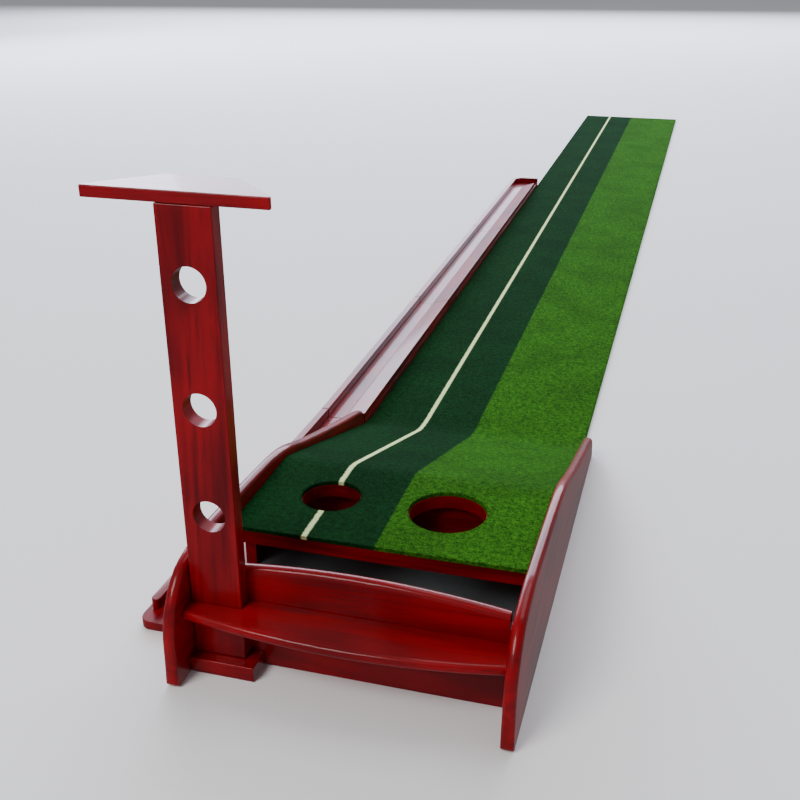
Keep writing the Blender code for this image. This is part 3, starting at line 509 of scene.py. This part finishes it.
@dataclass
class Turf:
    """The turf over deck, ramp and floor, with its pile along every cut edge."""

    finish: TurfPile
    crease: float = 0.014
    crease_points: int = 7
    row: float = 0.025
    columns: int = 12
    hole_sides: int = 96
    gap: float = 0.0003
    sharp_angle: float = math.radians(40)
    blade_height: float = 0.0016
    blade_width: float = 0.0007
    blade_lean: float = 0.0006
    blade_root: float = 0.0006
    edge_band: tuple[float, float] = (0.0002, 0.0022)
    edge_pitch: float = 0.0016
    seed: int = 7
    rests_on: tuple[str, ...] = ("deck_board_board", "ramp_board_board")
    low: Vector = field(init=False)
    high: Vector = field(init=False)
    thickness: float = field(init=False)
    top: Path = field(init=False)

    def __post_init__(self) -> None:
        """Read the turf's box."""
        self.low, self.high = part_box("turf_mat")

    def underside(self) -> Path:
        """Path of the underside along deck, ramp and floor.

        Returns:
            Its corner points.
        """
        _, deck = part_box("deck_board")
        _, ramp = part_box("ramp_board")
        points = [vertex.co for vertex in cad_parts["turf_mat"].data.vertices]
        on_floor = [point for point in points if point.x < self.low.x + TOUCH and point.z < TOUCH]
        return [
            (self.low.y, deck.z + self.gap),
            (deck.y + self.gap, deck.z + self.gap),
            (ramp.y, ramp_toe_height() + self.gap),
            (min(point.y for point in on_floor), 0.0),
            (self.high.y, 0.0),
        ]

    @staticmethod
    def offset(path: Path, distance: float) -> Path:
        """Move a path square to itself.

        Args:
            path: The path.
            distance: How far, upwards.

        Returns:
            The moved path, mitred.
        """
        normals = []
        for start, end in zip(path, path[1:]):
            run = Vector((end[0] - start[0], end[1] - start[1])).normalized()
            normals.append(Vector((-run.y, run.x)))
        moved = []
        for index, point in enumerate(path):
            before = normals[max(index - 1, 0)]
            after = normals[min(index, len(normals) - 1)]
            middle = (before + after).normalized()
            place = Vector(point) + middle * (distance / middle.dot(before))
            moved.append((place.x, place.y))
        return moved

    def softened(self, path: Path) -> Path:
        """Round a path's corners and split its long runs.

        Args:
            path: Corner points.

        Returns:
            A denser path.
        """
        points = [Vector(path[0])]
        for before, corner, after in zip(path, path[1:], path[2:]):
            corner_at = Vector(corner)
            start = corner_at + (Vector(before) - corner_at).normalized() * self.crease
            end = corner_at + (Vector(after) - corner_at).normalized() * self.crease
            self._run(points, start)
            for step in range(1, self.crease_points):
                t = step / self.crease_points
                points.append(start * (1 - t) ** 2 + corner_at * 2 * t * (1 - t) + end * t**2)
            points.append(end)
        self._run(points, Vector(path[-1]))
        return [(point.x, point.y) for point in points]

    def _run(self, points: list[Vector], end: Vector) -> None:
        """Add evenly spaced points up to an end.

        Args:
            points: The points so far, added to.
            end: The last point to add.
        """
        start = points[-1]
        count = max(1, math.ceil((end - start).length / self.row))
        for index in range(1, count + 1):
            points.append(start.lerp(end, index / count))

    def build(self, body: str, material: bpy.types.Material) -> None:
        """Make the turf and its edge pile.

        Args:
            body: The CAD body that it rides on.
            material: Its finish.
        """
        under = self.underside()
        self.thickness = self.high.z - under[0][1]
        raised = self.offset(under, self.thickness)
        self.top = self.softened(raised)
        bottom = [(y, self.height_along(under, y)) for y, _ in self.top]
        bottom[0] = under[0]
        bottom[-1] = under[-1]
        piece = self._slab(bottom)
        for middle, radius in hole_circles():
            self._cut(piece, middle, radius)
        link(piece, body, material)
        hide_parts("turf_mat")
        pile = self._edge_pile()
        link(pile, body, material)
        width = self.high.x - self.low.x
        length = sum(math.dist(a, b) for a, b in zip(raised, raised[1:]))
        holes = sum(math.pi * radius**2 for _, radius in hole_circles())
        width * length - holes

    @staticmethod
    def height_along(path: Path, y: float) -> float:
        """Height of a path at a place along it.

        Args:
            path: The path.
            y: The place.

        Returns:
            The height.
        """
        for (y0, z0), (y1, z1) in zip(path, path[1:]):
            if y0 <= y <= y1:
                return z0 + (z1 - z0) * (y - y0) / (y1 - y0)
        return path[-1][1]

    def _slab(self, bottom: Path) -> bpy.types.Object:
        """The turf without its holes.

        Args:
            bottom: The underside under each point of the top.

        Returns:
            A closed slab.
        """
        shape = bmesh.new()
        width = self.high.x - self.low.x
        levels = []
        for path in (self.top, bottom):
            rows = []
            for y, z in path:
                xs = [self.low.x + width * i / self.columns for i in range(self.columns + 1)]
                rows.append([shape.verts.new((x, y, z)) for x in xs])
            levels.append(rows)
        upper, lower = levels
        last = len(upper) - 1
        for row in range(last):
            for column in range(self.columns):
                square = [upper[row][column], upper[row][column + 1]]
                square += [upper[row + 1][column + 1], upper[row + 1][column]]
                shape.faces.new(square)
                square = [lower[row][column], lower[row + 1][column]]
                square += [lower[row + 1][column + 1], lower[row][column + 1]]
                shape.faces.new(square)
            for column in (0, self.columns):
                side = [upper[row][column], upper[row + 1][column]]
                side += [lower[row + 1][column], lower[row][column]]
                shape.faces.new(side)
        for row in (0, last):
            for column in range(self.columns):
                end = [upper[row][column], upper[row][column + 1]]
                end += [lower[row][column + 1], lower[row][column]]
                shape.faces.new(end)
        bmesh.ops.recalc_face_normals(shape, faces=shape.faces)
        mesh = bpy.data.meshes.new("turf_sheet")
        shape.to_mesh(mesh)
        shape.free()
        mesh.shade_smooth()
        mesh.set_sharp_from_angle(angle=self.sharp_angle)
        return bpy.data.objects.new("turf_sheet", mesh)

    def _cut(self, piece: bpy.types.Object, middle: Vector, radius: float) -> None:
        """Cut a round hole and apply the cut.

        Args:
            piece: The turf.
            middle: The hole's middle.
            radius: Its radius.
        """
        shape = bmesh.new()
        bmesh.ops.create_cone(
            shape,
            cap_ends=True,
            segments=self.hole_sides,
            radius1=radius,
            radius2=radius,
            depth=5 * self.thickness,
            matrix=Matrix.Translation((middle.x, middle.y, self.high.z)),
        )
        mesh = bpy.data.meshes.new("hole_cutter")
        shape.to_mesh(mesh)
        shape.free()
        cutter = bpy.data.objects.new("hole_cutter", mesh)
        scene = bpy.context.scene.collection
        scene.objects.link(cutter)
        scene.objects.link(piece)
        boolean = piece.modifiers.new("hole", "BOOLEAN")
        boolean.operation = "DIFFERENCE"
        boolean.object = cutter
        graph = bpy.context.evaluated_depsgraph_get()
        cut = bpy.data.meshes.new_from_object(piece.evaluated_get(graph))
        piece.modifiers.clear()
        piece.data = cut
        cut.name = "turf_sheet"
        scene.objects.unlink(piece)
        bpy.data.objects.remove(cutter)

    def _edge_places(self, random: Random) -> list[tuple[Vector, Vector]]:
        """Roots and outward directions of the tufts along the cut edges.

        Args:
            random: Source of the scatter.

        Returns:
            Pairs of root and direction.
        """
        places = []
        count = int((self.high.x - self.low.x) / self.edge_pitch)
        for index in range(count):
            x = self.low.x + (index + random.random()) * self.edge_pitch
            places.append((Vector((x, self.low.y, 0.0)), Vector((0.0, -1.0, 0.0))))
            places.append((Vector((x, self.high.y, 0.0)), Vector((0.0, 1.0, 0.0))))
        count = int((self.high.y - self.low.y) / self.edge_pitch)
        for index in range(count):
            y = self.low.y + (index + random.random()) * self.edge_pitch
            places.append((Vector((self.low.x, y, 0.0)), Vector((-1.0, 0.0, 0.0))))
            places.append((Vector((self.high.x, y, 0.0)), Vector((1.0, 0.0, 0.0))))
        for middle, radius in hole_circles():
            count = int(math.tau * radius / self.edge_pitch * 2)
            for index in range(count):
                angle = math.tau * (index + random.random()) / count
                way = Vector((math.cos(angle), math.sin(angle), 0.0))
                places.append((middle + way * radius, -way))
        return places

    def _edge_pile(self) -> bpy.types.Object:
        """Small closed tufts along the cut edges.

        Returns:
            The pile, one mesh of separate tufts.
        """
        random = Random(self.seed)
        verts: list[Vector] = []
        faces: list[tuple[int, int, int]] = []
        for root, out in self._edge_places(random):
            inward = root - out * random.uniform(*self.edge_band)
            y = min(max(inward.y, self.low.y), self.high.y)
            inward.z = self.height_along(self.top, y) - self.blade_root
            turn = random.uniform(0.0, math.tau)
            first = len(verts)
            for corner in range(3):
                angle = turn + corner * math.tau / 3
                reach = self.blade_width / 2
                verts.append(inward + Vector((math.cos(angle), math.sin(angle), 0.0)) * reach)
            lean = out * random.uniform(0.0, self.blade_lean)
            height = self.blade_root + self.blade_height * random.uniform(0.35, 1.0)
            verts.append(inward + lean + Vector((0.0, 0.0, height)))
            faces += [(first, first + 2, first + 1), (first, first + 1, first + 3)]
            faces += [(first + 1, first + 2, first + 3), (first + 2, first, first + 3)]
        mesh = bpy.data.meshes.new("turf_edge_pile")
        mesh.from_pydata([tuple(vert) for vert in verts], [], faces)
        return bpy.data.objects.new("turf_edge_pile", mesh)


def ramp_toe_height() -> float:
    """Height of the ramp board's upper edge at its toe.

    Returns:
        The height.
    """
    _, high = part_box("ramp_board")
    points = [vertex.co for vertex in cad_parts["ramp_board"].data.vertices]
    return max(point.z for point in points if point.y > high.y - TOUCH)


def hole_circles(margin: float = 0.001) -> list[tuple[Vector, float]]:
    """Middle and radius of the two holes in the turf, read from the deck board.

    Args:
        margin: How much wider the turf's hole is than the board's.

    Returns:
        The smaller hole and the larger one.
    """
    low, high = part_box("deck_board")
    rim = []
    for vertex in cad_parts["deck_board"].data.vertices:
        point = vertex.co
        inside = low.x + TOUCH < point.x < high.x - TOUCH and low.y + TOUCH < point.y < high.y - TOUCH
        if inside and point.z > high.z - TOUCH:
            rim.append(point.copy())
    rim.sort(key=lambda point: point.x)
    gaps = [(b.x - a.x, index) for index, (a, b) in enumerate(zip(rim, rim[1:]))]
    split = max(gaps)[1] + 1
    circles = []
    for ring in (rim[:split], rim[split:]):
        left, right = ring[0].x, ring[-1].x
        front = min(point.y for point in ring)
        rear = max(point.y for point in ring)
        middle = Vector(((left + right) / 2, (front + rear) / 2, high.z))
        circles.append((middle, (right - left) / 2 + margin))
    return circles


# ---------------------------------------------------------------- stage
@dataclass
class Studio:
    """Camera, pale floor and soft lights."""

    offset: Vector = field(default_factory=lambda: Vector((0.4144, -0.8326, 0.6526)))
    yaw: float = 0.2781
    pitch: float = -0.4280
    roll: float = -0.0029
    lens: float = 48.25
    sensor: float = 36.0
    clip: tuple[float, float] = (0.01, 1000.0)
    floor_reach: float = 400.0
    floor_drop: float = 0.0006

    def camera(self) -> None:
        """Place the camera from the deck's front left corner."""
        _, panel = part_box("left_side_panel")
        deck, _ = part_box("deck_board")
        corner = Vector((panel.x, deck.y, 0.0))
        data = bpy.data.cameras.new("camera")
        data.lens = self.lens
        data.sensor_width = self.sensor
        data.clip_start, data.clip_end = self.clip
        item = bpy.data.objects.new("camera", data)
        bpy.context.scene.collection.objects.link(item)
        turn = Matrix.Rotation(self.yaw, 4, "Z") @ Matrix.Rotation(math.pi / 2 + self.pitch, 4, "X")
        item.matrix_world = (
            Matrix.Translation(corner + self.offset) @ turn @ Matrix.Rotation(self.roll, 4, "Z")
        )
        bpy.context.scene.camera = item

    def floor(self) -> None:
        """A large pale floor that the gloss doesn't mirror."""
        shape = bmesh.new()
        bmesh.ops.create_grid(shape, x_segments=1, y_segments=1, size=self.floor_reach)
        mesh = bpy.data.meshes.new("studio_floor")
        shape.to_mesh(mesh)
        shape.free()
        item = bpy.data.objects.new("studio_floor", mesh)
        bpy.context.scene.collection.objects.link(item)
        item.location.z = -self.floor_drop
        item.visible_glossy = False
        graph = Graph("pale_floor")
        soft = graph.noise(graph.place(), 1.2, 2.0)
        graph.set(
            base_color=graph.mix(soft, (0.97, 0.97, 0.97), (0.94, 0.94, 0.95)),
            roughness=0.85,
            specular=0.1,
        )
        mesh.materials.append(graph.material)

    @staticmethod
    def lamp(
        name: str, place: Place, aim: Place, size: tuple[float, float], watts: float, tint: Color
    ) -> None:
        """Add one soft area light.

        Args:
            name: Its name.
            place: Where it is.
            aim: What it points at.
            size: Its width and height.
            watts: Its power.
            tint: Its colour.
        """
        data = bpy.data.lights.new(name, "AREA")
        data.shape = "RECTANGLE"
        data.size, data.size_y = size
        data.energy = watts
        data.color = tint
        item = bpy.data.objects.new(name, data)
        bpy.context.scene.collection.objects.link(item)
        item.location = place
        item.rotation_euler = (Vector(aim) - Vector(place)).to_track_quat("-Z", "Y").to_euler()

    def light(self) -> None:
        """A pale sky, a key from the front left, one lamp overhead and two broad cool panels."""
        world = bpy.data.worlds.new("pale_sky")
        bpy.context.scene.world = world
        world.use_nodes = True
        sky = world.node_tree.nodes["Background"]
        sky.inputs["Color"].default_value = (0.93, 0.95, 1.0, 1.0)
        sky.inputs["Strength"].default_value = 0.30
        head = (0.03, -1.45, 0.1)
        self.lamp("key", (-1.2, -3.6, 2.6), head, (1.4, 1.4), 80.0, (1.0, 0.98, 0.95))
        self.lamp("over_mat", (0.6, 0.3, 3.2), (0.1, 0.2, 0.0), (2.4, 2.4), 45.0, (1.0, 1.0, 1.0))
        lavender = (0.80, 0.83, 1.0)
        self.lamp("far_panel", (-1.2, 4.8, 2.5), (-0.4, -0.6, 0.0), (6.4, 3.4), 560.0, lavender)
        self.lamp("left_panel", (-3.4, 2.4, 1.9), (-0.1, 0.2, 0.0), (2.6, 2.6), 110.0, lavender)


# ---------------------------------------------------------------- the object
@dataclass
class PuttingMat:
    """Every piece of the object."""

    lacquer: dict[Grain, bpy.types.Material]
    birch: dict[Grain, bpy.types.Material]
    line_half: float = 0.0027

    def head(self) -> None:
        """The wooden head with its shelf, trough and outlet tray."""
        joinery = Joinery("head", self.lacquer)
        along = ("left_side_panel", "right_side_panel", "outlet_tray", "outlet_rail", "ramp_board")
        across = ("front_board", "shelf", "foot_block", "deck_board")
        across += ("trough_floor", "trough_back_board")
        for node in along:
            joinery.board(node, Grain.ALONG)
        for node in across:
            joinery.board(node, Grain.ACROSS)

    def post(self) -> None:
        """The upright and its plate."""
        joinery = Joinery("post_assembly", self.lacquer, ease=0.0009)
        joinery.board("post", Grain.UPRIGHT)
        joinery.board("top_plate", Grain.ACROSS)

    def track(self) -> None:
        """The three sections of the return track."""
        for number in (1, 2, 3):
            joinery = Joinery(f"track_{number}", self.lacquer)
            for piece in ("base", "outer_rail", "inner_rail"):
                joinery.board(f"track_{number}_{piece}", Grain.ALONG)
        Joinery("track_3", self.lacquer).board("track_end_stop", Grain.ACROSS)

    def turf(self) -> None:
        """The turf, its line centred on the small hole."""
        low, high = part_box("turf_mat")
        small, _ = hole_circles()[0]
        finish = TurfPile(middle=(low.x + high.x) / 2, line=small.x, line_half=self.line_half)
        Turf(finish).build("head", finish.material())

    def hidden_pieces(self) -> None:
        """Dowels, cleats, screws and felt keep their CAD shape and get their finish."""
        felt = Felt().material()
        steel = ZincSteel().material()
        for name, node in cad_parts.items():
            if "screw" in name:
                material = steel
            elif name == "trough_lining":
                material = felt
            elif "dowel" in name:
                material = self.birch[self._dowel_grain(name)]
            elif "cleat" in name:
                material = self.birch[Grain.ALONG]
            else:
                continue
            node.data.materials.clear()
            node.data.materials.append(material)
            log.info("%s keeps its shape", name)

    @staticmethod
    def _dowel_grain(name: str) -> Grain:
        """Direction of a dowel, which is that of its grain.

        Args:
            name: The dowel's node.

        Returns:
            The direction.
        """
        if name.startswith("plate"):
            return Grain.UPRIGHT
        return Grain.ALONG if name.startswith("track") else Grain.ACROSS


def main() -> None:
    logging.basicConfig(level=logging.INFO, format="%(name)s: %(message)s")
    studio = Studio()
    studio.camera()
    studio.floor()
    studio.light()
    mat = PuttingMat(
        lacquer={grain: Lacquer(grain).material() for grain in Grain},
        birch={grain: PlainWood(grain).material() for grain in Grain},
    )
    mat.head()
    mat.post()
    mat.track()
    mat.turf()
    mat.hidden_pieces()


if __name__ == "__main__":
    main()
